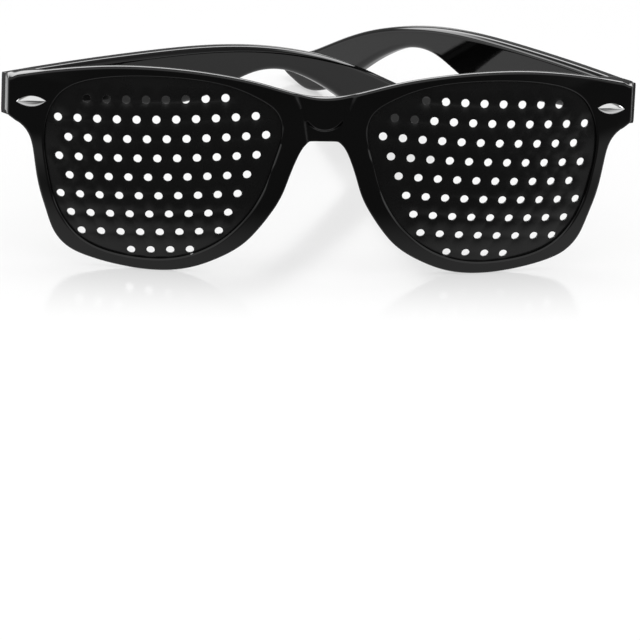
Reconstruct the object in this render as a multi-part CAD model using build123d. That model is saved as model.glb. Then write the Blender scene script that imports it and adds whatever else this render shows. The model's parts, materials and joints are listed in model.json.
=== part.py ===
from build123d import *
from math import asin, cos, radians, sin, sqrt
import os

# Pinhole glasses: a glossy moulded front, two perforated plates, two folding
# temples on barrel hinges, and two eye-shaped studs.
# Millimetres. X runs from the wearer's right to the left, the front faces -Y,
# Z is up, and the glasses stand on their rims and on one temple tip at Z = 0.
# Everything is drawn around the middle of the plates, for the wearer's left.
# The right side is its mirror image, and the whole is centred at the end.

# Front
front_width = 147.6
brow_height = 26.0
rim_depth_below = 24.0
front_lip = 0.9
back_lip = 1.3
reach_beyond = 30.0

# Faces of the rim around each opening
rim_face_top = 2.0
rim_face_bottom = 3.0
rim_face_outer = 9.05
rim_face_inner = 9.95
aperture_width = front_width / 2 - rim_face_outer - rim_face_inner
aperture_height = brow_height - rim_face_top + rim_depth_below - rim_face_bottom
aperture_centre_x = rim_face_inner + aperture_width / 2
aperture_centre_z = brow_height - rim_face_top - aperture_height / 2

# Spherical plates, their grids shifted a little to the nose
plate_radius = 120.0
plate_thickness = 0.8
grid_shift = 1.2
plate_offset = aperture_centre_x - grid_shift
plate_wrap = 6.1
plate_clearance = 0.03
groove_depth = 0.9
aperture_shares = [
    (-1.00, 0.48), (-0.93, 0.68), (-0.80, 0.79), (-0.63, 0.885), (-0.18, 0.99), (0.22, 0.99), (0.57, 0.93),
    (0.86, 0.76), (0.99, 0.44), (0.97, -0.09), (0.88, -0.48), (0.66, -0.83), (0.24, -0.99),
    (-0.16, -0.97), (-0.47, -0.80), (-0.73, -0.48), (-0.87, -0.16), (-0.95, 0.16),
]

# Pinholes: rows run from the top down, spans count pitches towards the nose
hole_diameter = 1.9
hole_back_diameter = 2.3
hole_sides = 12
hole_pitch_share = 0.08394
row_pitch_share = 0.10378
hole_pitch = hole_pitch_share * aperture_width
row_pitch = row_pitch_share * aperture_height
row_rise = 3.65
middle_row = 4
row_spans = [(-4, 3), (-5.5, 4.5), (-5, 5), (-5.5, 4.5), (-5, 4), (-5.5, 3.5), (-5, 3),
             (-4.5, 2.5), (-2, 1)]

# Outline of half the front as shares of half the width and of the two heights
brow_shares = [(0.0, 0.745), (0.11, 0.80), (0.22, 0.892), (0.34, 0.958), (0.52, 1.0),
               (0.65, 0.990), (0.76, 0.950), (0.87, 0.885), (1.0, 0.78)]
rim_shares = [(0.927, 0.29), (0.910, 0.12), (0.898, -0.10), (0.884, -0.28), (0.865, -0.46),
              (0.834, -0.695), (0.793, -0.825), (0.732, -0.904), (0.623, -0.975), (0.501, -1.0),
              (0.413, -0.962), (0.328, -0.858), (0.236, -0.667), (0.173, -0.408),
              (0.131, -0.158), (0.104, 0.085), (0.085, 0.225), (0.072, 0.300), (0.057, 0.347)]
endpiece_height = 9.4
endpiece_corner = 1.4
endpiece_root_drop = 0.9
endpiece_root_run = 3.0
endpiece_top_level = 19.3
endpiece_top_inset = 3.2
endpiece_top_run = 5.8
bridge_underside = 9.3
bridge_flat = 5.6

# Sculpted bridge: a tongue stands between two flanks that lean in to the middle
flank_top = 17.5
flank_width = 6.3
flank_inner = 3.4
flank_depth = 1.35
flank_flare = 0.15
flank_lean = 0.11
tongue_width = 8.6
tongue_shoulder = 14.4
tongue_bottom = 11.7
tongue_flare = 0.45
tongue_depth_behind = 1.6
tongue_taper = 20.0

# Nose pads moulded on the rims
pad_x = 10.9
pad_z = -1.0
pad_length = 19.0
pad_width = 4.2
pad_reach = 7.0
pad_root = 0.4
pad_splay = 0.30
pad_lean = 22.0
pad_mid_share = 0.60
pad_mid_fullness_share = 0.90
pad_end_length_share = 0.66
pad_end_width_share = 0.50

# Hinge: place of its middle, how far it sits behind the joint, and its lean back
hinge_inset = 4.7
hinge_x = front_width / 2 - hinge_inset
hinge_y = 16.65
hinge_z = 15.2
hinge_lean = 4.4
hinge_setback = 3.0
knuckle_radius = 1.5
knuckle_height = 2.0
knuckle_gap = 0.05
butt_gap = 0.05
endpiece_back = -hinge_setback - butt_gap
pin_radius = 0.7
pin_clearance = 0.03
leaf_thickness = 0.8
leaf_length = 8.6
leaf_height = 5.2
leaf_start = 1.7
leaf_corner = 1.2
tongue_thickness = 1.2
tongue_depth = 2.6
screw_head_radius = 1.25
screw_head_height = 0.5
screw_slot_width = 0.3
screw_slot_depth = 0.35
rivet_radius = 0.5
rivet_head_radius = 0.95
rivet_head_height = 0.3
rivet_depth = 1.8
rivet_margin = 2.2
rivet_pitch = 4.2
rivet_clearance = 0.02

# Temples: outline as shares of the length and of the drop to the tip
temple_length = 137.2
temple_drop = 30.6
temple_thickness = 3.5
temple_head_rise = 3.55
temple_head_drop = 6.1
temple_round = 0.7
temple_shares = [(0.085, 0.107), (0.196, 0.089), (0.299, 0.065), (0.409, 0.029),
                 (0.553, -0.062), (0.640, -0.154), (0.743, -0.305), (0.860, -0.546),
                 (0.931, -0.692), (0.984, -0.789), (0.999, -0.858), (0.975, -0.941),
                 (0.916, -1.0), (0.845, -0.900), (0.723, -0.547), (0.655, -0.376),
                 (0.602, -0.287), (0.534, -0.264), (0.443, -0.361), (0.383, -0.394),
                 (0.246, -0.324), (0.066, -0.219)]

# Fold of each temple from the plane of the front, as it lies
right_fold = 36.5
left_fold = 60.2
open_fold = 90.0

# Studs on the endpieces, their outer ends a little lower
stud_inset = 5.8
stud_x = front_width / 2 - stud_inset
stud_z = 15.5
stud_tilt = 8.5
stud_length = 7.3
stud_height = 2.55
stud_seat = 0.12
stud_base = 0.35
stud_ridge = 0.55
stud_pin_radius = 0.45
stud_pin_depth = 1.8
stud_pin_offset = 1.7
stud_clearance = 0.03

sphere_x = plate_offset - plate_radius * sin(radians(plate_wrap))
sphere_y = plate_radius * cos(radians(plate_wrap))
hinge_place = Location((hinge_x, hinge_y, hinge_z)) * Rot(X=-hinge_lean)


def on_surface(x, z, radius):
    """Y of the point over (x, z) on a sphere around the plate's centre."""
    return sphere_y - sqrt(radius**2 - (x - sphere_x) ** 2 - z**2)


def ball(radius):
    return Pos(sphere_x, sphere_y, 0) * Sphere(radius)


def upright(sketch, start, end, taper=0.0):
    """A prism along Y from a sketch in X and Z, narrower at its start."""
    return Pos(0, end, 0) * extrude(Plane.XZ * sketch, end - start, taper=taper)


def single(shape):
    """The one solid of a finished piece."""
    solids = shape.solids()
    assert len(solids) == 1, len(solids)
    return solids[0]


def across(shape):
    return single(mirror(shape, about=Plane.YZ))


def scaled(shares):
    half = front_width / 2
    return [(u * half, v * (brow_height if v > 0 else rim_depth_below)) for u, v in shares]


def aperture_sketch(grow=0.0):
    half_width = aperture_width / 2 + grow
    half_height = aperture_height / 2 + grow
    points = [(aperture_centre_x + u * half_width, aperture_centre_z + v * half_height)
              for u, v in aperture_shares]
    return make_face(Spline(points, periodic=True))


def half_outline():
    """Brow, endpiece, rim and half of the bridge."""
    brow = scaled(brow_shares)
    corner_x, corner_z = brow[-1]
    under_z = corner_z - endpiece_height
    root = (corner_x - endpiece_root_run, under_z - endpiece_root_drop)
    arch = (bridge_flat / 2, bridge_underside)
    slope = (corner_x - brow[-2][0], corner_z - brow[-2][1])
    edges = [
        Spline(brow, tangents=[(1, 0), slope]),
        Line((corner_x, corner_z), (corner_x, under_z)),
        Line((corner_x, under_z), root),
        Spline([root] + scaled(rim_shares) + [arch]),
        Line(arch, (0, bridge_underside)),
        Line((0, bridge_underside), (0, brow[0][1])),
    ]
    sketch = make_face(edges)
    outer = sketch.vertices().sort_by_distance((corner_x, under_z, 0))[0]
    return fillet(outer, endpiece_corner)


def nose_pad():
    """Ellipses that shrink and splay away from the back of the rim."""
    root_y = on_surface(pad_x, pad_z, plate_radius - back_lip) - pad_root
    steps = [(0.0, 1.0, 1.0), (pad_mid_share, pad_mid_fullness_share, pad_mid_fullness_share),
             (1.0, pad_end_length_share, pad_end_width_share)]
    sections = []
    for share, length, width in steps:
        reach = share * pad_reach
        middle = (pad_x + reach * pad_splay, root_y + reach, pad_z)
        outline = Ellipse(pad_width / 2 * width, pad_length / 2 * length, rotation=-pad_lean)
        sections.append(Plane(middle, x_dir=(1, 0, 0), z_dir=(0, 1, 0)) * outline)
    return loft(sections)


def bridge_relief():
    """What is cut away beside and below the tongue, for half of the bridge."""
    edge_y = on_surface(flank_width, bridge_underside, plate_radius + front_lip)
    inner_y = edge_y + flank_depth
    rise = flank_depth / (flank_width - flank_inner)
    run = front_width / 2
    plan = Polyline((-run, -run), (-run, inner_y), (flank_inner, inner_y),
                    (flank_inner + run, inner_y - rise * run), (flank_inner + run, -run), close=True)
    face = Pos(0, 0, bridge_underside - flank_top) * make_face(plan)
    start = Pos(0, (bridge_underside - flank_top) * flank_lean,
                bridge_underside) * Pos((bridge_underside - flank_top) * flank_flare, 0, 0) * face
    return extrude(start, 2 * (flank_top - bridge_underside), dir=(flank_flare, flank_lean, 1))


def bridge_tongue():
    """The raised tongue of the bridge, wider at its root than at its face."""
    half = tongue_width / 2
    top = tongue_shoulder + reach_beyond
    wide = half + tongue_flare * reach_beyond
    outline = make_face([
        Line((wide, top), (half, tongue_shoulder)),
        ThreePointArc((half, tongue_shoulder), (0, tongue_bottom), (-half, tongue_shoulder)),
        Line((-half, tongue_shoulder), (-wide, top)),
        Line((-wide, top), (wide, top)),
    ])
    edge_y = on_surface(half, tongue_shoulder, plate_radius + front_lip)
    tongue = upright(outline, edge_y - 2 * flank_depth, edge_y + tongue_depth_behind, tongue_taper)
    radius = plate_radius + front_lip
    middle_y = edge_y + sqrt(radius**2 - half**2 - tongue_shoulder**2)
    return tongue & (Pos(0, middle_y, 0) * Sphere(radius))


def stud_place():
    """The stud's place on the endpiece, looking straight out of its surface."""
    y = on_surface(stud_x, stud_z, plate_radius + front_lip)
    out = (stud_x - sphere_x, y - sphere_y, stud_z)
    level = Plane((stud_x, y, stud_z), x_dir=(-out[1], out[0], 0), z_dir=out)
    return level * Rot(Z=-stud_tilt)


def eye_sketch(grow=0.0):
    """Two arcs that meet in a point at each end."""
    half = stud_length / 2 + grow
    rise = stud_height / 2 + grow
    return make_face([ThreePointArc((-half, 0), (0, rise), (half, 0)),
                      ThreePointArc((half, 0), (0, -rise), (-half, 0))])


def stud_pins(radius, depth):
    pins = [Pos(side * stud_pin_offset, 0, -depth / 2 - stud_seat) * Cylinder(radius, depth)
            for side in (-1, 1)]
    return pins[0] + pins[1]


def build_stud():
    """An eye-shaped plate with a ridge along its middle and two pins behind."""
    outline = eye_sketch()
    height = stud_base + stud_ridge
    plate = Pos(0, 0, -stud_seat) * extrude(outline, height)
    rise = stud_height / 2
    roof = Polyline((-rise, -stud_seat - stud_base), (-rise, stud_base - stud_seat),
                    (0, height - stud_seat), (rise, stud_base - stud_seat),
                    (rise, -stud_seat - stud_base), close=True)
    ridge = Pos(-stud_length, 0, 0) * extrude(Plane.YZ * make_face(roof), 2 * stud_length)
    eye = plate & ridge
    return single(stud_place() * (eye + stud_pins(stud_pin_radius, stud_pin_depth)))


def stud_pocket():
    pocket = Pos(0, 0, -stud_seat) * extrude(eye_sketch(stud_clearance), stud_base + stud_ridge)
    holes = stud_pins(stud_pin_radius + stud_clearance, stud_pin_depth + stud_clearance)
    return stud_place() * (pocket + holes)


def knuckle_levels():
    pitch = knuckle_height + knuckle_gap
    return [-pitch, 0, pitch]


def hinge_bore():
    return Cylinder(pin_radius + pin_clearance, 4 * knuckle_height)


def tongue_sketch(grow=0.0):
    """Plan of the front leaf's tongue, from its root in the endpiece."""
    wide = tongue_thickness + 2 * grow
    return Pos(0, endpiece_back - tongue_depth / 2) * Rectangle(wide, tongue_depth + 2 * grow)


def build_front_leaf():
    """Two knuckles on one tongue that is set in the endpiece."""
    low, middle, high = knuckle_levels()
    tall = high - low + knuckle_height
    leaf = Pos(0, 0, -tall / 2) * extrude(tongue_sketch(), tall)
    for level in (low, high):
        foot = Pos(0, endpiece_back / 2, level) * Box(tongue_thickness, -endpiece_back, knuckle_height)
        leaf += foot + Pos(0, 0, level) * Cylinder(knuckle_radius, knuckle_height)
    return single(hinge_place * (leaf - hinge_bore()))


def tongue_pocket():
    low, middle, high = knuckle_levels()
    tall = high - low + knuckle_height + 2 * plate_clearance
    return hinge_place * Pos(0, 0, -tall / 2) * extrude(tongue_sketch(plate_clearance), tall)


def build_temple_leaf():
    """One knuckle on a plate along the inner face of the temple."""
    inner = knuckle_radius - leaf_thickness / 2
    end = leaf_start + leaf_length
    plate = Pos(inner, (leaf_start + end) / 2, 0) * Box(leaf_thickness, leaf_length, leaf_height)
    plate = fillet(plate.edges().filter_by(Axis.X).group_by(Axis.Y)[-1], leaf_corner)
    neck = Pos(inner, end / 4, 0) * Box(leaf_thickness, end / 2, knuckle_height)
    leaf = plate + neck + Cylinder(knuckle_radius, knuckle_height) - hinge_bore()
    for place in rivet_places():
        leaf -= place * Cylinder(rivet_radius + rivet_clearance, 4 * leaf_thickness)
    return single(leaf)


def rivet_places(side=1):
    """Rivets look into the temple, through the leaf's inner face."""
    inner = knuckle_radius - leaf_thickness
    first = leaf_start + rivet_margin
    return [Pos(side * inner, first + step * rivet_pitch, 0) * Rot(Y=side * 90) for step in (0, 1)]


def build_rivets():
    rivets = []
    long = leaf_thickness + rivet_depth
    for place in rivet_places():
        shank = Pos(0, 0, long / 2) * Cylinder(rivet_radius, long)
        head = Pos(0, 0, -rivet_head_height / 2) * Cylinder(rivet_head_radius, rivet_head_height)
        head = chamfer(head.edges().group_by(Axis.Z)[0], rivet_head_height / 2)
        rivets.append(single(place * (shank + head)))
    return rivets


def build_screw():
    """The hinge pin: a slotted head on the top knuckle and a plain shank."""
    low, middle, high = knuckle_levels()
    top = high + knuckle_height / 2
    long = high - low + knuckle_height
    shank = Pos(0, 0, top - long / 2) * Cylinder(pin_radius, long)
    head = Pos(0, 0, top + screw_head_height / 2) * Cylinder(screw_head_radius, screw_head_height)
    slot = Pos(0, 0, top + screw_head_height) * Box(4 * screw_head_radius, screw_slot_width,
                                                    2 * screw_slot_depth)
    return single(hinge_place * (shank + head - slot))


def temple_outline():
    start = -hinge_setback
    points = [(u * temple_length, v * temple_drop) for u, v in temple_shares]
    ends = [(start, temple_head_rise), (start, -temple_head_drop)]
    return make_face([Spline([ends[0]] + points + [ends[1]]), Line(ends[1], ends[0])])


def build_temple(side, fold):
    """Flat arm with bevelled edges and holes for the rivets; side is 1 for the left."""
    start = side * (knuckle_radius + temple_thickness / 2) - temple_thickness / 2
    arm = Pos(start, 0, 0) * extrude(Plane.YZ * temple_outline(), temple_thickness)
    arm = chamfer(arm.edges().filter_by(GeomType.BSPLINE), temple_round)
    deep = leaf_thickness + rivet_depth + rivet_clearance
    for place in rivet_places(side):
        arm -= place * Pos(0, 0, deep / 2) * Cylinder(rivet_radius + rivet_clearance, deep)
    hinge = Location((side * hinge_x, hinge_y, hinge_z)) * Rot(X=-hinge_lean)
    return single(hinge * Rot(Z=side * (open_fold - fold)) * arm)


def hole_cutter(ug, wg):
    """A cone through the plate, square to its surface."""
    sag = plate_radius - sqrt(plate_radius**2 - ug**2 - wg**2)
    wrap = radians(plate_wrap)
    x = plate_offset - (ug * cos(wrap) + sag * sin(wrap))
    y = sag * cos(wrap) - ug * sin(wrap)
    into = (sphere_x - x, sphere_y - y, -wg)
    front = hole_diameter / 2
    back = hole_back_diameter / 2
    widen = back - front
    rings = [Pos(0, 0, level * plate_thickness) * RegularPolygon(front + level * widen, hole_sides)
             for level in (-1, 2)]
    return Plane((x, y, wg), z_dir=into) * loft(rings, ruled=True)


def build_plate():
    """A piece of a sphere with rows of tapered pinholes."""
    blank = upright(aperture_sketch(groove_depth - plate_clearance), -reach_beyond, reach_beyond)
    blank &= ball(plate_radius) - ball(plate_radius - plate_thickness)
    rise = radians(row_rise)
    cutters = []
    for row, (outer, inner) in enumerate(row_spans):
        for step in range(int(inner - outer) + 1):
            u = (outer + step) * hole_pitch
            w = (middle_row - row) * row_pitch
            ug = u * cos(rise) - w * sin(rise)
            wg = u * sin(rise) + w * cos(rise)
            cutters.append(hole_cutter(ug, wg))
    return single(blank - cutters)


def half_front():
    """The wearer's left half of the front, before the halves are joined."""
    far = reach_beyond
    blank = upright(half_outline(), -far, far) & ball(plate_radius + front_lip)
    blank -= hinge_place * Pos(0, far + endpiece_back, 0) * Box(4 * far, 2 * far, 4 * far)
    inside = aperture_centre_x + aperture_width / 2
    hollow = Polyline((-far, -far), (inside, -far), (inside + groove_depth, hinge_y),
                      (inside + groove_depth, far), (-far, far), close=True)
    zone = Pos(0, 0, -2 * far) * extrude(make_face(hollow), 4 * far)
    last = front_width / 2 - endpiece_top_inset
    back_y = hinge_y + endpiece_back
    above = Polyline((-far, -far), (inside, -far), (last - endpiece_top_run, back_y - groove_depth - far),
                     (last, back_y), (last, far), (-far, far), close=True)
    zone += Pos(0, 0, endpiece_top_level) * extrude(make_face(above), far)
    blank -= ball(plate_radius - back_lip) & zone
    blank -= upright(aperture_sketch(), -far, far)
    seat = upright(aperture_sketch(groove_depth), -far, far)
    seat &= ball(plate_radius + plate_clearance) - ball(plate_radius - plate_thickness - plate_clearance)
    return blank - seat


def build_front():
    half = half_front() - bridge_relief()
    half += bridge_tongue() & upright(half_outline(), -reach_beyond, reach_beyond)
    half += nose_pad()
    half -= stud_pocket()
    half -= tongue_pocket()
    return single(half + mirror(half, about=Plane.YZ))


def build_side(fold):
    """The pieces of one side, with its temple folded to its angle."""
    turned = hinge_place * Rot(Z=open_fold - fold)
    rivets = build_rivets()
    return {
        "pinhole_plate": build_plate(),
        "front_leaf": build_front_leaf(),
        "hinge_screw": build_screw(),
        "stud": build_stud(),
        "temple_leaf": turned * build_temple_leaf(),
        "rivet_front": turned * rivets[0],
        "rivet_back": turned * rivets[1],
    }


def build_all():
    pieces = {
        "front_frame": build_front(),
        "temple_left": build_temple(1, left_fold),
        "temple_right": build_temple(-1, right_fold),
    }
    for name, piece in build_side(left_fold).items():
        pieces[name + "_left"] = single(piece)
    for name, piece in build_side(right_fold).items():
        pieces[name + "_right"] = across(piece)
    box = Compound(list(pieces.values())).bounding_box()
    centred = Pos(-box.center().X, -box.center().Y, -box.min.Z)
    return {name: centred * piece for name, piece in pieces.items()}, centred


if __name__ == "__main__":
    os.makedirs("parts", exist_ok=True)
    made, centred = build_all()
    print("moved by", centred.position)
    for name, piece in made.items():
        print(name, piece.is_valid, round(piece.volume, 2))
        export_step(piece, f"parts/{name}.step")
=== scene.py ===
import bpy
import bmesh
import json
import numpy as np
from math import cos, pi, radians, sin, sqrt
from mathutils import Matrix, Vector
from mathutils.geometry import delaunay_2d_cdt
from mathutils.kdtree import KDTree


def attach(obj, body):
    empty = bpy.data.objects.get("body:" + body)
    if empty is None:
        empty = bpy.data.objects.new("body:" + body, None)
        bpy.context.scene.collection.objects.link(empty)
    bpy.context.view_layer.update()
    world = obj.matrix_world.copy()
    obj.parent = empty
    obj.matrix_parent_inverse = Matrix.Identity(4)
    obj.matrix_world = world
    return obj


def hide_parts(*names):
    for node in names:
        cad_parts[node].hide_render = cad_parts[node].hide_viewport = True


# Pinhole glasses: a polished black front, satin perforated plates and folding temples.
# Front, temples, plates and studs get finished skins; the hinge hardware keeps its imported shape.

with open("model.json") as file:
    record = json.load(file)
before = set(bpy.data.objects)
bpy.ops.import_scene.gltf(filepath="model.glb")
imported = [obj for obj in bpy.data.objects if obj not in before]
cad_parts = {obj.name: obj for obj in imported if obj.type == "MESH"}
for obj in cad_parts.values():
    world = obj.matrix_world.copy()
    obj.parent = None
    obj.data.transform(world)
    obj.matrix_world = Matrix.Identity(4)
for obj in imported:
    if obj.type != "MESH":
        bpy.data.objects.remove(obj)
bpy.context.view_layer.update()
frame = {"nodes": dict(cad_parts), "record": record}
nodes = frame["nodes"]
behaviour = frame["record"]["behaviour"]
bodyOf = {name: body for body, names in behaviour["bodies"].items() for name in names}
joints = {joint["name"]: joint for joint in behaviour["joints"]}
slotOf = {part["node"]: part["material_slot"] for part in frame["record"]["subparts"]}
print("frame loaded:", len(nodes), "nodes")


# camera, as the photo was taken: a long lens a little above and to one side
cameraView = {
    "lens": 310.3,
    "elevation": 22.6,
    "turn": 6.2293,
    "roll": -2.9188,
    "distance": 1.3,
    "aim": (0.0009380, -0.0663921, -0.0118225),
    "sensor": 36,
    "clipNear": 0.05,
    "clipFar": 30,
}


def makeCamera(v):
    turn, rise, roll = radians(v["turn"]), radians(v["elevation"]), radians(v["roll"])
    across = Vector((cos(turn), -sin(turn), 0))
    ahead = Vector((sin(turn), cos(turn), 0))
    forward = ahead * cos(rise) - Vector((0, 0, sin(rise)))
    upward = ahead * sin(rise) + Vector((0, 0, cos(rise)))
    right = across * cos(roll) - upward * sin(roll)
    top = across * sin(roll) + upward * cos(roll)
    data = bpy.data.cameras.new("photoCamera")
    data.lens = v["lens"]
    data.sensor_width = v["sensor"]
    data.clip_start = v["clipNear"]
    data.clip_end = v["clipFar"]
    camera = bpy.data.objects.new("photoCamera", data)
    place = Matrix((right, top, -forward)).transposed().to_4x4()
    place.translation = Vector(v["aim"]) - forward * v["distance"]
    camera.matrix_world = place
    bpy.context.scene.collection.objects.link(camera)
    bpy.context.scene.camera = camera


makeCamera(cameraView)
print("camera placed")


# shader maths as plain expressions
class Value:
    def __init__(self, shader, socket):
        self.shader = shader
        self.socket = socket

    def maths(self, operation, other, flipped=False):
        pair = [other, self] if flipped else [self, other]
        return self.shader.node("ShaderNodeMath", {"operation": operation}, {0: pair[0], 1: pair[1]})

    def __add__(self, other):
        return self.maths("ADD", other)

    def __radd__(self, other):
        return self.maths("ADD", other, True)

    def __sub__(self, other):
        return self.maths("SUBTRACT", other)

    def __rsub__(self, other):
        return self.maths("SUBTRACT", other, True)

    def __mul__(self, other):
        return self.maths("MULTIPLY", other)

    def __rmul__(self, other):
        return self.maths("MULTIPLY", other, True)

    def between(self, low, high):
        return self.shader.node("ShaderNodeMapRange", {"interpolation_type": "SMOOTHSTEP"},
                                {"Value": self, "From Min": low, "From Max": high})


class Shader:
    def __init__(self, tree):
        self.tree = tree
        tree.nodes.clear()

    def node(self, kind, settings=None, values=None, output=0):
        made = self.tree.nodes.new(kind)
        for key, setting in (settings or {}).items():
            setattr(made, key, setting)
        for key, value in (values or {}).items():
            if isinstance(value, Value):
                self.tree.links.new(value.socket, made.inputs[key])
            else:
                made.inputs[key].default_value = value
        return Value(self, made.outputs[output]) if made.outputs else None

    def mixColour(self, factor, first, second):
        return self.node("ShaderNodeMix", {"data_type": "RGBA"}, {0: factor, 6: first, 7: second}, output=2)

    def noise(self, place, scale, detail, roughness):
        return self.node("ShaderNodeTexNoise", None,
                         {"Vector": place, "Scale": scale, "Detail": detail, "Roughness": roughness})

    def bump(self, height, strength, distance):
        return self.node("ShaderNodeBump", None,
                         {"Height": height, "Strength": strength, "Distance": distance})

    def absolute(self, value):
        return self.node("ShaderNodeMath", {"operation": "ABSOLUTE"}, {0: value})

    def axis(self, place, index):
        return self.node("ShaderNodeSeparateXYZ", None, {"Vector": place}, output=index)

    def rays(self):
        kinds = ("Is Camera Ray", "Is Glossy Ray", "Is Transmission Ray")
        return [self.node("ShaderNodeLightPath", output=kind) for kind in kinds]


def grey(level):
    return (level, level, level, 1)


def newMaterial(name):
    material = bpy.data.materials.new(name)
    material.use_nodes = True
    return material, Shader(material.node_tree)


def finishMaterial(shader, values):
    surface = shader.node("ShaderNodeBsdfPrincipled", None, values)
    shader.node("ShaderNodeOutputMaterial", None, {"Surface": surface})


# polished black plastic, with faint wipe marks and the slow swell of a moulding
polishedBlack = {
    "deep": 0.0015,
    "pale": 0.0035,
    "roughLow": 0.045,
    "roughHigh": 0.11,
    "cloud": (60, 3, 0.55),  # scale, detail and roughness of a noise
    "cloudMarks": (0.35, 0.7),
    "wipe": (420, 4, 0.6),
    "wipeMarks": (0.45, 0.75),
    "wipeStretch": (0.15, 1, 1),
    "wipeTurn": (0, 0.5, 0.3),
    "swell": (38, 1, 0.4),
    "swellBump": (0.04, 0.0004),  # strength and height in metres
    "ior": 1.5,
}


def polishedPlastic(name, v):
    material, s = newMaterial(name)
    place = s.node("ShaderNodeTexCoord", output="Object")
    cloud = s.noise(place, *v["cloud"])
    stretched = s.node("ShaderNodeMapping", None,
                       {"Vector": place, "Scale": v["wipeStretch"], "Rotation": v["wipeTurn"]})
    wipe = s.noise(stretched, *v["wipe"])
    marks = cloud.between(*v["cloudMarks"]) * 0.5 + wipe.between(*v["wipeMarks"]) * 0.5
    rough = marks * (v["roughHigh"] - v["roughLow"]) + v["roughLow"]
    colour = s.mixColour(cloud, grey(v["deep"]), grey(v["pale"]))
    normal = s.bump(s.noise(place, *v["swell"]), *v["swellBump"])
    finishMaterial(s, {"Base Color": colour, "Roughness": rough, "Normal": normal, "IOR": v["ior"]})
    return material


# satin black plate: finer, rougher and a little paler than the frame
satinPlate = {
    "deep": 0.0035,
    "pale": 0.0065,
    "roughLow": 0.22,
    "roughHigh": 0.32,
    "cloud": (90, 3, 0.55),
    "grain": (3800, 2, 0.5),
    "grainShare": 0.3,
    "grainBump": (0.10, 0.00005),
    "ior": 1.5,
}


def satinPlastic(name, v):
    material, s = newMaterial(name)
    place = s.node("ShaderNodeTexCoord", output="Object")
    cloud = s.noise(place, *v["cloud"])
    grain = s.noise(place, *v["grain"])
    rough = cloud * (v["roughHigh"] - v["roughLow"]) + v["roughLow"]
    mottle = cloud * (1 - v["grainShare"]) + grain * v["grainShare"]
    colour = s.mixColour(mottle, grey(v["deep"]), grey(v["pale"]))
    normal = s.bump(grain, *v["grainBump"])
    finishMaterial(s, {"Base Color": colour, "Roughness": rough, "Normal": normal, "IOR": v["ior"]})
    return material


# metals: plated hinge steel and the bright studs
hingeSteel = {
    "dark": 0.50,
    "light": 0.68,
    "roughLow": 0.20,
    "roughHigh": 0.34,
    "brush": (1, 1, 9),
    "streak": (900, 4, 0.6),
    "bump": (0.06, 0.00002),
}
studMetal = {
    "dark": 0.80,
    "light": 0.90,
    "roughLow": 0.05,
    "roughHigh": 0.10,
    "brush": (1, 1, 1),
    "streak": (500, 4, 0.6),
    "bump": (0.06, 0.00002),
}


def metal(name, v):
    material, s = newMaterial(name)
    place = s.node("ShaderNodeTexCoord", output="Object")
    brushed = s.node("ShaderNodeMapping", None, {"Vector": place, "Scale": v["brush"]})
    streak = s.noise(brushed, *v["streak"])
    rough = streak * (v["roughHigh"] - v["roughLow"]) + v["roughLow"]
    colour = s.mixColour(streak, grey(v["dark"]), grey(v["light"]))
    normal = s.bump(streak, *v["bump"])
    finishMaterial(s, {"Base Color": colour, "Roughness": rough, "Metallic": 1.0, "Normal": normal})
    return material


finishes = {
    "front_gloss": polishedPlastic("polishedBlackFront", polishedBlack),
    "temple_gloss": polishedPlastic("polishedBlackTemple", polishedBlack),
    "plate_satin": satinPlastic("satinBlackPlate", satinPlate),
    "hinge_steel": metal("platedSteel", hingeSteel),
    "stud_chrome": metal("brightStud", studMetal),
}
print("materials made:", len(finishes))


# how outlines are evened and skins closed: welds and thinEdge in metres, the rest millimetres, shares, counts
meshing = {
    "weldCopy": 0.000002,
    "thinEdge": 0.000001,
    "weldSkin": 0.000004,
    "cutShare": 0.45,
    "arcSteps": 4,
    "mitreLimit": 0.6,
    "nearShare": 0.93,
    "nearSlack": 0.002,
    "rowRise": 0.866,
    "clearShare": 0.6,
    "sheetLimit": 0.00001,
}


# chains of spots where faces of one kind meet faces of another
def seams(bm, first, second):
    links = {}
    for edge in bm.edges:
        if len(edge.link_faces) == 2:
            f, g = edge.link_faces
            if (first(f) and second(g)) or (first(g) and second(f)):
                a, b = edge.verts
                links.setdefault(a, []).append(b)
                links.setdefault(b, []).append(a)
    chains = []
    while links:
        ends = [vert for vert, near in links.items() if len(near) == 1]
        here = ends[0] if ends else next(iter(links))
        chain = []
        while here is not None:
            chain.append(here.co.copy())
            near = links.pop(here)
            here = next((vert for vert in near if vert in links), None)
        chains.append(chain)
    return chains


def mergedCopy(node):
    bm = bmesh.new()
    bm.from_mesh(nodes[node].data)
    bmesh.ops.remove_doubles(bm, verts=bm.verts, dist=meshing["weldCopy"])
    bmesh.ops.dissolve_degenerate(bm, edges=bm.edges, dist=meshing["thinEdge"])
    bm.normal_update()
    return bm


def turned(before, here, after):
    a, b = here - before, after - here
    return abs(a.angle(b)) if a.length > 0 and b.length > 0 else 0


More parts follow.
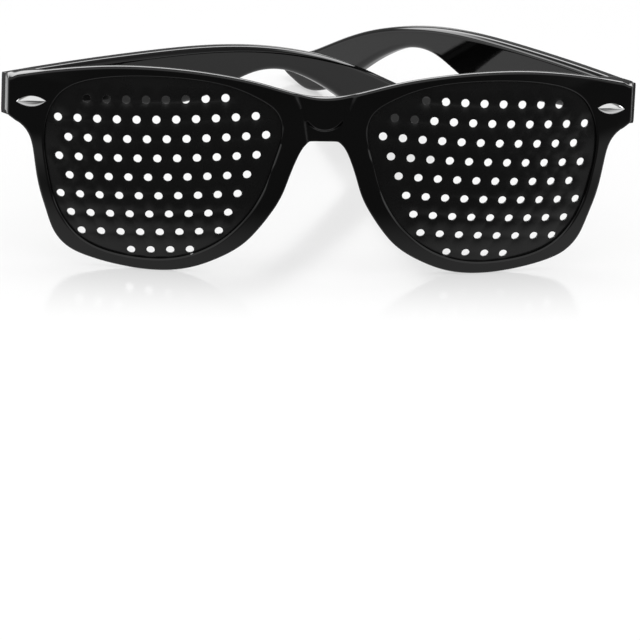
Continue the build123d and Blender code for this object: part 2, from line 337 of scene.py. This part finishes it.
# a coarse outline made even and smooth, its true corners eased with a small arc
def evenOutline(points, spacing, corner, cutAt):
    count = len(points)
    most, arc = meshing["cutShare"], meshing["arcSteps"]
    following = points[1:] + points[:1]
    gap = [(q - p).length for p, q in zip(points, following)]
    sharp = [turned(points[i - 1], points[i], following[i]) > radians(corner) for i in range(count)]
    out = []
    for i in range(count):
        j = (i + 1) % count
        p, q = points[i], points[j]
        before = p * 2 - q if sharp[i] else points[i - 1]
        after = q * 2 - p if sharp[j] else points[(i + 2) % count]
        length = gap[i]
        cut = min(cutAt(p), most * gap[i - 1], most * length)
        nextCut = min(cutAt(q), most * length, most * gap[j])
        low = cut / length if sharp[i] else 0
        high = 1 - nextCut / length if sharp[j] else 1
        if sharp[i]:
            start = p + (points[i - 1] - p).normalized() * cut
            end = p + (q - p).normalized() * cut
            for step in range(1, arc):
                t = step / arc
                out.append(start * (1 - t) ** 2 + p * (2 * t * (1 - t)) + end * t ** 2)
        steps = max(1, round(length * (high - low) / spacing))
        for step in range(steps + (1 if sharp[j] else 0)):
            t = low + (high - low) * step / steps
            out.append(0.5 * (2 * p + (q - before) * t + (2 * before - 5 * p + 4 * q - after) * t ** 2
                              + (3 * p - before - 3 * q + after) * t ** 3))
    return out


def signedArea(points):
    return sum(a.x * b.y - b.x * a.y for a, b in zip(points, points[1:] + points[:1])) / 2


def outwards(points):
    side = 1 if signedArea(points) > 0 else -1
    normals = []
    for i, here in enumerate(points):
        a = (here - points[i - 1]).normalized()
        b = (points[(i + 1) % len(points)] - here).normalized()
        along = (a + b).normalized()
        scale = side / max(meshing["mitreLimit"], along.dot(b))
        normals.append(Vector((along.y, -along.x)) * scale)
    return normals


# spots that an inset has thrown across a corner go midway between the nearest good ones
def settled(points, edge, reach):
    p = np.array([tuple(point) for point in points])
    a = np.array([tuple(point) for point in edge])
    ab = np.roll(a, -1, axis=0) - a
    t = np.clip(((p[:, None] - a) * ab).sum(2) / (ab ** 2).sum(1), 0, 1)
    near = np.linalg.norm(a + ab * t[..., None] - p[:, None], axis=2).min(1)
    good = near > meshing["nearShare"] * np.array(reach) - meshing["nearSlack"]
    out = list(points)
    count = len(points)
    for i in range(count):
        if not good[i]:
            back = next((k for k in range(1, count) if good[i - k]), 0)
            onward = next((k for k in range(1, count) if good[(i + k) % count]), 0)
            out[i] = (points[i - back] + points[(i + onward) % count]) / 2
    return out


def withinLoops(points, loops):
    p = np.array([tuple(point) for point in points]).reshape(-1, 2)
    inside = np.zeros(len(p), bool)
    for loop in loops:
        for a, b in zip(loop, loop[1:] + loop[:1]):
            if a.y != b.y:
                crosses = (a.y > p[:, 1]) != (b.y > p[:, 1])
                inside ^= crosses & (p[:, 0] < (b.x - a.x) * (p[:, 1] - a.y) / (b.y - a.y) + a.x)
    return inside


# even points inside the loops; fine zones get closer ones
def innerPoints(loops, spacing, zones=()):
    corners = [point for loop in loops for point in loop]
    tree = KDTree(len(corners))
    for index, point in enumerate(corners):
        tree.insert((point.x, point.y, 0), index)
    tree.balance()
    low = Vector((min(p.x for p in corners), min(p.y for p in corners)))
    high = Vector((max(p.x for p in corners), max(p.y for p in corners)))
    areas = [(low.x, low.y, high.x, high.y, spacing)] + list(zones)
    rise, clear = meshing["rowRise"], meshing["clearShare"]
    found = []
    for order, (x0, y0, x1, y1, step) in enumerate(areas):
        for row in range(int((y1 - y0) / (step * rise)) + 1):
            for column in range(int((x1 - x0) / step) + 1):
                p = Vector((x0 + (column + 0.5 * (row % 2)) * step, y0 + row * step * rise))
                finer = any(z[0] < p.x < z[2] and z[1] < p.y < z[3] for z in areas[order + 1:])
                if not finer and tree.find((p.x, p.y, 0))[2] > clear * step:
                    found.append(p)
    keep = withinLoops(found, loops)
    return [p for p, kept in zip(found, keep) if kept]


# a skin in the making: rows of spots joined by bands, sheets with holes, and caps
class Shell:
    def __init__(self):
        self.points = []
        self.faces = []

    def ring(self, points):
        start = len(self.points)
        self.points += points
        return range(start, start + len(points))

    def bands(self, rows):
        rings = [self.ring(row) for row in rows]
        count = len(rows[0])
        for first, second in zip(rings, rings[1:]):
            for i in range(count):
                j = (i + 1) % count
                self.faces.append((first[i], first[j], second[j], second[i]))

    def cap(self, row):
        self.faces.append(tuple(self.ring(row)))

    def sheet(self, loops, extra, lift):
        flat = [point for loop in loops for point in loop] + extra
        edges = []
        start = 0
        for loop in loops:
            edges += [(start + i, start + (i + 1) % len(loop)) for i in range(len(loop))]
            start += len(loop)
        filled = delaunay_2d_cdt(flat, edges, [], 0, meshing["sheetLimit"])
        spots, faces = filled[0], filled[2]
        centres = [(spots[f[0]] + spots[f[1]] + spots[f[2]]) / 3 for f in faces]
        keep = withinLoops(centres, loops)
        base = len(self.points)
        self.points += [lift(spot.x, spot.y) for spot in spots]
        self.faces += [tuple(base + v for v in face) for face, kept in zip(faces, keep) if kept]

    def finish(self, name, node, sharp):
        low, high = meshBounds(node)
        bm = bmesh.new()
        verts = []
        for point in self.points:
            spot = (point + drawnShift) * 0.001
            verts.append(bm.verts.new([min(max(spot[k], low[k]), high[k]) for k in range(3)]))
        for face in self.faces:
            bm.faces.new([verts[v] for v in face])
        bmesh.ops.remove_doubles(bm, verts=bm.verts, dist=meshing["weldSkin"])
        loose = [vert for vert in bm.verts if not vert.link_faces]
        bmesh.ops.delete(bm, geom=loose, context="VERTS")
        bmesh.ops.recalc_face_normals(bm, faces=bm.faces)
        for face in bm.faces:
            face.smooth = True
        for edge in bm.edges:
            edge.smooth = not (len(edge.link_faces) == 2 and edge.calc_face_angle(0) > radians(sharp))
        gaps = sum(len(edge.link_faces) != 2 for edge in bm.edges)
        mesh = bpy.data.meshes.new(name)
        bm.to_mesh(mesh)
        bm.free()
        skin = bpy.data.objects.new(name, mesh)
        bpy.context.scene.collection.objects.link(skin)
        mesh.materials.append(finishes[slotOf[node]])
        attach(skin, bodyOf[node])
        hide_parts(node)
        print("skin", name, len(mesh.polygons), "faces,", gaps, "open edges")


def meshBounds(node):
    spots = [nodes[node].matrix_world @ v.co for v in nodes[node].data.vertices]
    return ([min(s[k] for s in spots) for k in range(3)], [max(s[k] for s in spots) for k in range(3)])


# the front as drawn, in millimetres: two balls side by side, a plate groove, hinge blocks, a sculpted bridge
frontForm = {
    "hinge": (69.1, 16.65, 15.2),
    "radius": 120.9,
    "centreX": 23.398,
    "centreY": 119.321,
    "blend": 2.0,
    "depth": 2.2,
    "grooveFront": 0.87,
    "grooveBack": 1.73,
    "grooveReach": 0.9,
    "spacing": 0.5,
    "fill": 1.5,
    "frontRound": 0.42,
    "draft": 0.45,
    "draftFrom": 71.0,
    "draftTo": 73.2,
    "backRound": 1.2,
    "endRound": 0.35,
    "endFrom": 65.0,
    "endTo": 71.5,
    "bevel": 0.4,
    "bevelDepth": 0.36,
    "backBevel": 0.2,
    "cornerEase": 0.6,
    "bridgeEase": 1.9,
    "softTurns": 14,
    "softBelow": 13.6,
    "gapFill": 0.4,
    "gapSide": (9, 16),
    "gapTop": (11, 13),
    "bridgeHalf": 8.0,
    "bridgeReach": 9,
    "flatRun": 0.18,
    "blockBack": -3.059,
    "blockLean": 0.0769,
    "blockEdge": 65.65,
    "blockEdgeSoft": 0.2,
    "blockTop": 19.3,
    "blockTopSoft": 0.15,
    "blockTopFrom": 64.8,
    "blockTopTo": 70.6,
    "flankTop": 18.6,
    "flankLow": 9.3,
    "flankDepth": 1.05,
    "flankInner": 3.4,
    "flankRise": 0.80,
    "flankFlare": 0.15,
    "flankFade": 2.6,
    "flankLip": 0.4,
    "flankLean": 0.11,
    "tongueHalf": 3.7,
    "tongueShoulder": 14.4,
    "tongueRadius": 4.31,
    "tongueCentre": 16.61,
    "tongueFlare": 0.45,
    "tongueSlope": 1.1,
    "tongueNarrow": 0.912,
    "tongueBallY": 120.772,
    "wallLimit": 0.28,
    "faceLimit": -0.5,
    "openingWidth": 0.03,  # metres, as is rimWidth
    "rimWidth": 0.1,
    "rimCorner": 32,
    "openingCorner": 60,
    "frontSteps": 5,
    "backSteps": 6,
    "lip": (0.94, 0.01),
    "neck": (0.12, 0.86),
    "fineBridge": (-9, 8, 9, 21, 0.4),  # low x and z, high x and z, spacing
    "fineEnds": [(-74, 8, -63, 22, 0.5), (63, 8, 74, 22, 0.5)],
    "sharp": 40,
}

# nose pads: an oval that grows out of the back and closes to a rounded tip
pad = {
    "x": 10.9,
    "z": -1.0,
    "length": 19.0,
    "width": 4.2,
    "reach": 7.0,
    "root": 0.4,
    "splay": 0.30,
    "lean": 22.0,
    "count": 36,
    "rows": 14,
    "straightRows": 9,
    "tipEase": 0.9,
    "taper": 0.1,
    "tipFrom": 0.62,
    "tipLength": 0.35,
    "tipWidth": 0.05,
}
drawnShift = Vector(joints["temple_left_hinge"]["pos_m"]) * 1000 - Vector(frontForm["hinge"])


def ease(value, low, high):
    t = min(1.0, max(0.0, (value - low) / (high - low)))
    return t * t * (3 - 2 * t)


def ballSurface(v, radius, x, z):
    side = sqrt(x * x + v["blend"] ** 2)
    return v["centreY"] - sqrt(radius ** 2 - (side - v["centreX"]) ** 2 - z * z)


def frontSurface(v, x, z):
    y = ballSurface(v, v["radius"], x, z)
    if abs(x) > v["bridgeReach"]:
        return y
    up = z - v["flankLow"]
    facet = v["flankDepth"] + v["flankLean"] * up
    facet -= v["flankRise"] * max(0, abs(x) - v["flankInner"] - v["flankFlare"] * up)
    y += max(0, facet - y) * ease(-z, -v["flankTop"] - v["flankLip"], -v["flankTop"] + v["flankFade"])
    if z > v["tongueShoulder"]:
        apart = abs(x) - v["tongueHalf"] - v["tongueFlare"] * (z - v["tongueShoulder"])
        apart *= v["tongueNarrow"]
    else:
        apart = sqrt(x * x + (z - v["tongueCentre"]) ** 2) - v["tongueRadius"]
    face = v["tongueBallY"] - sqrt(v["radius"] ** 2 - x * x - z * z)
    return face + (y - face) * ease(apart, 0, v["tongueSlope"])


def backSurface(v, x, z):
    y = ballSurface(v, v["radius"] - v["depth"], x, z)
    hinge = v["hinge"]
    plane = hinge[1] + v["blockBack"] + v["blockLean"] * (z - hinge[2])
    low = ease(abs(x), v["blockEdge"] - v["blockEdgeSoft"], v["blockEdge"] + v["blockEdgeSoft"])
    high = min(1, max(0, (abs(x) - v["blockTopFrom"]) / (v["blockTopTo"] - v["blockTopFrom"])))
    above = ease(z, v["blockTop"] - v["blockTopSoft"], v["blockTop"] + v["blockTopSoft"])
    block = low * (1 - above) + high * above
    return y + (plane - y) * block


def flatOf(point):
    spot = point * 1000 - drawnShift
    return Vector((spot.x, spot.z))


def dressFront(v, node, name):
    bm = mergedCopy(node)
    chains = seams(bm, lambda f: abs(f.normal.y) < v["wallLimit"], lambda f: f.normal.y < v["faceLimit"])
    bm.free()
    outlines = []
    for chain in chains:
        wide = max(p.x for p in chain) - min(p.x for p in chain)
        if wide > v["openingWidth"]:
            outlines.append((wide, sum(p.y for p in chain) / len(chain), chain))
    outer = max(outlines, key=lambda entry: entry[0])[2]
    print("front outlines", [(round(w * 1000, 1), round(y * 1000, 2), len(c)) for w, y, c in outlines])
    rim = evenOutline([flatOf(p) for p in outer], v["spacing"], v["rimCorner"],
                      lambda p: v["bridgeEase"] if abs(p.x) < v["bridgeHalf"] else v["cornerEase"])
    for _ in range(v["softTurns"]):
        rim = [(rim[i - 1] + p * 2 + rim[(i + 1) % len(rim)]) / 4
               if abs(p.x) < v["bridgeHalf"] and p.y < v["softBelow"] else p for i, p in enumerate(rim)]
    rim = [p + n * v["gapFill"] * (1 - ease(abs(p.x), *v["gapSide"])) * (1 - ease(p.y, *v["gapTop"]))
           for p, n in zip(rim, outwards(rim))]
    rimOut = outwards(rim)
    shell = Shell()

    def pulled(reach):
        return settled([p - n * far for p, n, far in zip(rim, rimOut, reach)], rim, reach)

    def inset(by):
        return pulled([by + v["draft"] * ease(abs(p.x), v["draftFrom"], v["draftTo"]) for p in rim])

    def raised(spots, surface, depth):
        return [Vector((p.x, surface(v, p.x, p.y) + depth, p.y)) for p in spots]

    backRounds = [v["backRound"] + (v["endRound"] - v["backRound"]) * ease(abs(p.x), v["endFrom"], v["endTo"])
                  for p in rim]

    def backRow(share, drop):
        spots = pulled([r * share for r in backRounds])
        return [Vector((p.x, backSurface(v, p.x, p.y) - r * drop, p.y)) for p, r in zip(spots, backRounds)]

    frontEdge = inset(v["frontRound"] + v["flatRun"])
    backEdge = pulled([r + v["flatRun"] for r in backRounds])
    rows = [raised(frontEdge, frontSurface, 0)]
    for step in range(v["frontSteps"] + 1):
        angle = pi / 2 * step / v["frontSteps"]
        by = v["frontRound"] * (1 - sin(angle))
        rows.append(raised(inset(by), frontSurface, v["frontRound"] * (1 - cos(angle))))
    for step in range(v["backSteps"], -1, -1):
        angle = pi / 2 * step / v["backSteps"]
        rows.append(backRow(1 - sin(angle), 1 - cos(angle)))
    rows.append(raised(backEdge, backSurface, 0))
    shell.bands(rows)
    frontLoops, backLoops = [frontEdge], [backEdge]
    for side in (-1, 1):
        own = [entry for entry in outlines if entry[0] < v["rimWidth"] and entry[2][0].x * side > 0]
        chain = min(own, key=lambda entry: entry[1])[2]
        opening = evenOutline([flatOf(p) for p in chain], v["spacing"], v["openingCorner"],
                              lambda p: v["cornerEase"])
        out = outwards(opening)

        def grown(by):
            return [p + n * by for p, n in zip(opening, out)]

        def row(by, depth):
            return [Vector((p.x, ballSurface(v, v["radius"] - depth, p.x, p.y), p.y)) for p in grown(by)]

        edge, last = grown(v["bevel"] + v["flatRun"]), grown(v["backBevel"])
        lipBy, lipDepth = v["bevel"] * v["lip"][0], v["lip"][1]
        neckBy, neckDepth = v["bevel"] * v["neck"][0], v["bevelDepth"] * v["neck"][1]
        reach, front, back = v["grooveReach"], v["grooveFront"], v["grooveBack"]
        steps = [(lipBy, lipDepth), (neckBy, neckDepth), (0, v["bevelDepth"]), (0, front), (reach, front),
                 (reach, back), (0, back), (0, v["depth"] - v["backBevel"])]
        rows = [raised(edge, frontSurface, 0), raised(grown(v["bevel"]), frontSurface, 0)]
        rows += [row(by, depth) for by, depth in steps]
        shell.bands(rows + [raised(last, backSurface, 0)])
        frontLoops.append(edge)
        backLoops.append(last)
    shell.sheet(frontLoops, innerPoints(frontLoops, v["fill"], [v["fineBridge"]]),
                lambda x, z: Vector((x, frontSurface(v, x, z), z)))
    shell.sheet(backLoops, innerPoints(backLoops, v["fill"], [v["fineBridge"]] + v["fineEnds"]),
                lambda x, z: Vector((x, backSurface(v, x, z), z)))
    for side in (-1, 1):
        dressPad(shell, v, pad, side)
    shell.finish(name, node, v["sharp"])


def dressPad(shell, v, p, side):
    foot = ballSurface(v, v["radius"] - v["depth"], p["x"], p["z"]) - p["root"]
    lean = radians(p["lean"])
    rows = []
    for step in range(p["rows"] + 1):
        t = step / p["rows"]
        reach = p["reach"] * (t if step < p["straightRows"] else 1 - (1 - t) ** 2 * p["tipEase"])
        full = 1 - p["taper"] * t
        tip = max(0.0, (t - p["tipFrom"]) / (1 - p["tipFrom"]))
        shrink = sqrt(max(0.0, 1 - tip ** 2))
        long = p["length"] / 2 * full * (p["tipLength"] + (1 - p["tipLength"]) * shrink)
        wide = p["width"] / 2 * full * (p["tipWidth"] + (1 - p["tipWidth"]) * shrink)
        row = []
        for k in range(p["count"]):
            a = 2 * pi * k / p["count"]
            across, along = wide * cos(a), long * sin(a)
            x = p["x"] + reach * p["splay"] + across * cos(lean) - along * sin(lean)
            z = p["z"] + across * sin(lean) + along * cos(lean)
            row.append(Vector((side * x, foot + reach, z)))
        rows.append(row)
    shell.bands(rows)
    shell.cap(rows[0])
    shell.cap(rows[-1])


# temples: a flat outline, well rounded on the inner side and tighter on the outer side
templeForm = {
    "thickness": 3.5,
    "round": 1.45,
    "outerRound": 0.45,
    "headRound": 0.38,
    "headRun": (0.5, 6),
    "tipRound": 0.75,
    "tipRun": (130.5, 135.5),
    "flatShare": 0.12,
    "spacing": 0.9,
    "fill": 4.0,
    "steps": 7,
    "cornerEase": 0.65,
    "corner": 40,
    "wallLimit": 0.35,
    "faceLimit": 0.95,
    "sharp": 60,
}


def dressTemple(v, node, name, joint):
    bm = mergedCopy(node)
    areas = {}
    for face in bm.faces:
        key = tuple(round(c, 2) for c in face.normal)
        areas[key] = areas.get(key, 0) + face.calc_area()
    flat = Vector(max(areas, key=areas.get)).normalized()
    upward = Vector(joints[joint]["axis"])
    upward = (upward * (1 if upward.z > 0 else -1)).normalized()
    flat = (flat - upward * flat.dot(upward)).normalized()
    along = upward.cross(flat).normalized()
    middle = sum((vert.co for vert in bm.verts), Vector()) / len(bm.verts)
    hinge = Vector(joints[joint]["pos_m"])
    along = along * (1 if (middle - hinge).dot(along) > 0 else -1)
    spans = [vert.co.dot(flat) for vert in bm.verts]
    centre = (min(spans) + max(spans)) / 2
    chains = seams(bm, lambda f: abs(f.normal.dot(flat)) < v["wallLimit"],
                   lambda f: v["wallLimit"] < abs(f.normal.dot(flat)) < v["faceLimit"])
    bm.free()
    chain = max(chains, key=len)
    print(name, "outlines", [len(c) for c in chains])
    origin = hinge - flat * hinge.dot(flat) + flat * centre
    points = [Vector(((p - origin).dot(along), (p - origin).dot(upward))) * 1000 for p in chain]
    edge = evenOutline(points, v["spacing"], v["corner"], lambda p: v["cornerEase"])
    out = outwards(edge)
    start = min(p.x for p in edge)
    inward = 1 if flat.y < 0 else -1

    def roundAt(x, side):
        full = v["round"] if side == inward else v["outerRound"]
        atTip = min(full, v["tipRound"])
        headFrom, headTo = v["headRun"]
        atHead = v["headRound"] + (full - v["headRound"]) * ease(x, start + headFrom, start + headTo)
        return atHead + (atTip - full) * ease(x, *v["tipRun"])

    def inset(share, side):
        reach = [roundAt(p.x, side) * share for p in edge]
        return settled([p - n * far for p, n, far in zip(edge, out, reach)], edge, reach)

    def lift(x, y, height):
        return origin * 1000 - drawnShift + along * x + upward * y + flat * height

    half = v["thickness"] / 2
    shell = Shell()
    faces = {side: inset(1 + v["flatShare"], side) for side in (1, -1)}
    rows = [[lift(p.x, p.y, half) for p in faces[1]]]
    for side in (1, -1):
        order = range(v["steps"] + 1) if side > 0 else range(v["steps"], -1, -1)
        for step in order:
            angle = pi / 2 * step / v["steps"]
            row = []
            for p, q in zip(inset(1 - sin(angle), side), edge):
                row.append(lift(p.x, p.y, side * (half - roundAt(q.x, side) * (1 - cos(angle)))))
            rows.append(row)
    rows.append([lift(p.x, p.y, -half) for p in faces[-1]])
    shell.bands(rows)
    for side, face in faces.items():
        shell.sheet([face], innerPoints([face], v["fill"]), lambda x, y: lift(x, y, side * half))
    shell.finish(name, node, v["sharp"])


# plates: a piece of a ball with round tapered holes
plateForm = {
    "radius": 120.0,
    "thickness": 0.8,
    "hole": 0.95,
    "holeBack": 1.15,
    "sink": 0.09,
    "sinkDepth": 0.07,
    "sinkNeck": (0.3, 0.4),
    "sides": 28,
    "spacing": 0.9,
    "fill": 2.3,
    "cornerEase": 0.3,
    "corner": 60,
    "faceLimit": 0.9,
    "faceReach": 0.3,
    "wallLimit": 0.75,
    "sharp": 50,
}


def dressPlate(v, w, node, name, side):
    bm = mergedCopy(node)
    centre = Vector((side * w["centreX"], w["centreY"], 0))
    ballCentre = (centre + drawnShift) * 0.001

    def onFront(f):
        spot = f.calc_center_median() - ballCentre
        facing = abs(f.normal.dot(spot.normalized())) > v["faceLimit"]
        return facing and spot.length * 1000 > v["radius"] - v["faceReach"]

    def isWall(f):
        spot = f.calc_center_median() - ballCentre
        return abs(f.normal.dot(spot.normalized())) < v["wallLimit"]

    chains = seams(bm, onFront, isWall)
    bm.free()
    edge = max(chains, key=lambda chain: max(p.x for p in chain) - min(p.x for p in chain))
    outline = evenOutline([flatOf(p) for p in edge], v["spacing"], v["corner"], lambda p: v["cornerEase"])
    holes = [sum(chain, Vector()) / len(chain) * 1000 - drawnShift for chain in chains if chain is not edge]
    print(name, len(holes), "holes", len(outline), "edge points")

    def surface(radius, x, z):
        return Vector((x, centre.y - sqrt(radius ** 2 - (x - centre.x) ** 2 - z * z), z))

    def circle(middle, reach, radius):
        way = (middle - centre).normalized()
        first = way.cross(Vector((0, 0, 1))).normalized()
        second = way.cross(first)
        row = []
        for k in range(v["sides"]):
            a = 2 * pi * k / v["sides"]
            spot = middle + first * (reach * cos(a)) + second * (reach * sin(a))
            row.append(centre + (spot - centre).normalized() * radius)
        return row

    back = v["radius"] - v["thickness"]
    shell = Shell()
    frontLoops, backLoops = [outline], [outline]
    shell.bands([[surface(radius, p.x, p.y) for p in outline] for radius in (v["radius"], back)])
    neckBy, neckDepth = v["sink"] * v["sinkNeck"][0], v["sinkDepth"] * v["sinkNeck"][1]
    for middle in holes:
        rows = [circle(middle, v["hole"] + v["sink"], v["radius"]),
                circle(middle, v["hole"] + neckBy, v["radius"] - neckDepth),
                circle(middle, v["hole"], v["radius"] - v["sinkDepth"]),
                circle(middle, v["holeBack"], back)]
        shell.bands(rows)
        frontLoops.append([Vector((p.x, p.z)) for p in rows[0]])
        backLoops.append([Vector((p.x, p.z)) for p in rows[-1]])
    shell.sheet(frontLoops, innerPoints(frontLoops, v["fill"]), lambda x, z: surface(v["radius"], x, z))
    shell.sheet(backLoops, innerPoints(backLoops, v["fill"]), lambda x, z: surface(back, x, z))
    shell.finish(name, node, v["sharp"])


# studs: a bright eye with a soft crown, set in the endpiece
studForm = {
    "x": 68.0,
    "z": 15.5,
    "tilt": 8.5,
    "length": 7.3,
    "height": 2.55,
    "seat": 0.12,
    "edge": 0.12,
    "edgeShare": 0.7,
    "crown": 0.62,
    "crownShare": 0.97,
    "count": 28,
    "rows": 9,
    "sharp": 60,
}


def dressStud(v, w, node, name, side):
    y = ballSurface(w, w["radius"], v["x"], v["z"])
    out = Vector((v["x"] - w["centreX"], y - w["centreY"], v["z"])).normalized()
    level = Vector((-out.y, out.x, 0)).normalized()
    upright = out.cross(level)
    tilt = radians(-v["tilt"])
    along = level * cos(tilt) + upright * sin(tilt)
    across = out.cross(along)
    middle = Vector((v["x"], y, v["z"]))
    half, rise = v["length"] / 2, v["height"] / 2
    arc = (half ** 2 + rise ** 2) / (2 * rise)

    def ring(share, height):
        spots = []
        for k in range(2 * v["count"]):
            turn = pi * k / v["count"]
            u = half * cos(turn)
            wide = sqrt(arc ** 2 - u * u) - (arc - rise)
            offset = wide * share * (1 if k <= v["count"] else -1)
            spot = middle + along * u + across * offset + out * height(wide / rise)
            spots.append(Vector((side * spot.x, spot.y, spot.z)))
        return spots

    rows = [ring(1, lambda full: -v["seat"]), ring(1, lambda full: v["edge"] * v["edgeShare"])]
    for step in range(v["rows"] + 1):
        share = cos(pi / 2 * step / v["rows"])
        rows.append(ring(share * v["crownShare"],
                         lambda full: v["edge"] + v["crown"] * full * (1 - share ** 2)))
    shell = Shell()
    shell.bands(rows)
    shell.cap(rows[0])
    shell.finish(name, node, v["sharp"])


dressFront(frontForm, "front_frame", "frontMoulding")
dressStud(studForm, frontForm, "stud_right", "domedStudRight", -1)
dressStud(studForm, frontForm, "stud_left", "domedStudLeft", 1)
dressTemple(templeForm, "temple_right", "templeMouldingRight", "temple_right_hinge")
dressTemple(templeForm, "temple_left", "templeMouldingLeft", "temple_left_hinge")
dressPlate(plateForm, frontForm, "pinhole_plate_right", "perforatedPlateRight", -1)
dressPlate(plateForm, frontForm, "pinhole_plate_left", "perforatedPlateLeft", 1)

for node, piece in nodes.items():
    if slotOf[node] in ("hinge_steel", "stud_chrome"):
        piece.data.materials.clear()
        piece.data.materials.append(finishes[slotOf[node]])
print("hardware finished")


# floor: white, with the near zone from the front of the glasses backwards and the far zone before them;
# the near zone glows less to the camera, is faintly polished and keeps the shadow, but glows more in
# reflections
whiteTable = {
    "size": 6.0,
    "sides": 64,
    "nearColour": 0.32,
    "farColour": 0.05,
    "nearGlow": 0.57,
    "farGlow": 0.97,
    # painted reflection glow, seen by glossy and clear rays only
    "nearGlossGlow": 0.34,
    "farGlossGlow": 0.04,
    "fade": (-0.100, -0.064),
    "beside": 0.6,
    "besideAcross": (0.08, 0.12),
    "besideDepth": (-0.17, -0.13),
    "mirror": 0.04,
    "rough": 0.16,
}


def makeFloor(v):
    bm = bmesh.new()
    bmesh.ops.create_circle(bm, cap_ends=True, segments=v["sides"], radius=v["size"] / 2)
    mesh = bpy.data.meshes.new("studioFloor")
    bm.to_mesh(mesh)
    bm.free()
    floor = bpy.data.objects.new("studioFloor", mesh)
    bpy.context.scene.collection.objects.link(floor)
    material, s = newMaterial("whiteTable")
    cameraRay, glossyRay, clearRay = s.rays()

    def table(zone):
        matt = s.node("ShaderNodeBsdfDiffuse", None, {"Color": grey(v[zone + "Colour"])})
        # glossy and clear rays see a painted reflection glow: brighter near and beside the glasses, dim
        # before them
        level = cameraRay * v[zone + "Glow"] + (glossyRay + clearRay) * v[zone + "GlossGlow"]
        glow = s.node("ShaderNodeEmission", None, {"Color": grey(1.0), "Strength": level})
        return s.node("ShaderNodeAddShader", None, {0: matt, 1: glow})

    place = s.node("ShaderNodeTexCoord", output="Object")
    across, depth = s.axis(place, 0), s.axis(place, 1)
    beside = s.absolute(across).between(*v["besideAcross"]) * depth.between(*v["besideDepth"])
    close = depth.between(*v["fade"])
    near = close + beside * (1 - close) * v["beside"]
    gloss = s.node("ShaderNodeBsdfGlossy", None, {"Color": grey(1.0), "Roughness": v["rough"]})
    polished = s.node("ShaderNodeMixShader", None, {0: v["mirror"], 1: table("near"), 2: gloss})
    both = s.node("ShaderNodeMixShader", None, {0: near, 1: table("far"), 2: polished})
    s.node("ShaderNodeOutputMaterial", None, {"Surface": both})
    mesh.materials.append(material)


# surroundings: white to the camera and through clear parts; gloss mirrors darker and brighter zones instead
surroundings = {
    "light": 0.75,
    "round": 0.22,
    "sides": 1.0,
    "sidesAcross": (0.70, 0.92),
    "sidesHeight": (0.1, 0.3),
    "front": 0.08,
    "frontDepth": (0.6, 0.95),
    "high": 0.9,
    "highHeight": (0.18, 0.34),
    "highDepth": (0.25, 0.45),
    "highLean": 0.6,
    "behind": 4.5,
    "behindLow": (0.26, 0.32),
    "behindTop": (0.42, 0.52),
    "behindDepth": (0.2, 0.4),
}


def makeWorld(v):
    world = bpy.data.worlds.new("studioWorld")
    world.use_nodes = True
    bpy.context.scene.world = world
    s = Shader(world.node_tree)
    direction = s.node("ShaderNodeTexCoord", output="Generated")
    x, y, z = [s.axis(direction, index) for index in range(3)]
    forward = y * -1.0
    sideways = s.absolute(x).between(*v["sidesAcross"]) * (1 - z.between(*v["sidesHeight"]))
    ahead = forward.between(*v["frontDepth"])
    above = z.between(*v["highHeight"]) * (z * v["highLean"] + forward).between(*v["highDepth"])
    behind = z.between(*v["behindLow"]) * y.between(*v["behindDepth"]) * (1 - z.between(*v["behindTop"]))
    around = v["round"] + sideways * (v["sides"] - v["round"]) - ahead * (v["round"] - v["front"])
    topped = around * (1 - above) + above * v["high"]
    mirrored = topped * (1 - behind) + behind * v["behind"]
    cameraRay, glossyRay, clearRay = s.rays()
    seen = s.node("ShaderNodeMath", {"operation": "ADD", "use_clamp": True}, {0: cameraRay, 1: clearRay})
    strength = v["light"] * (1 - seen) * (1 - glossyRay) + seen + mirrored * glossyRay
    light = s.node("ShaderNodeBackground", None, {"Color": grey(1.0), "Strength": strength})
    s.node("ShaderNodeOutputWorld", None, {"Surface": light})


# a soft lamp overhead
softbox = {
    "power": 5.0,
    "size": 0.9,
    "height": 1.3,
}


def makeLamp(v):
    data = bpy.data.lights.new("overheadSoftbox", "AREA")
    data.energy = v["power"]
    data.size = v["size"]
    lamp = bpy.data.objects.new("overheadSoftbox", data)
    lamp.location = (0, 0, v["height"])
    lamp.visible_glossy = False
    bpy.context.scene.collection.objects.link(lamp)


makeFloor(whiteTable)
makeWorld(surroundings)
makeLamp(softbox)
bpy.context.scene.view_settings.view_transform = "Standard"
print("studio set")
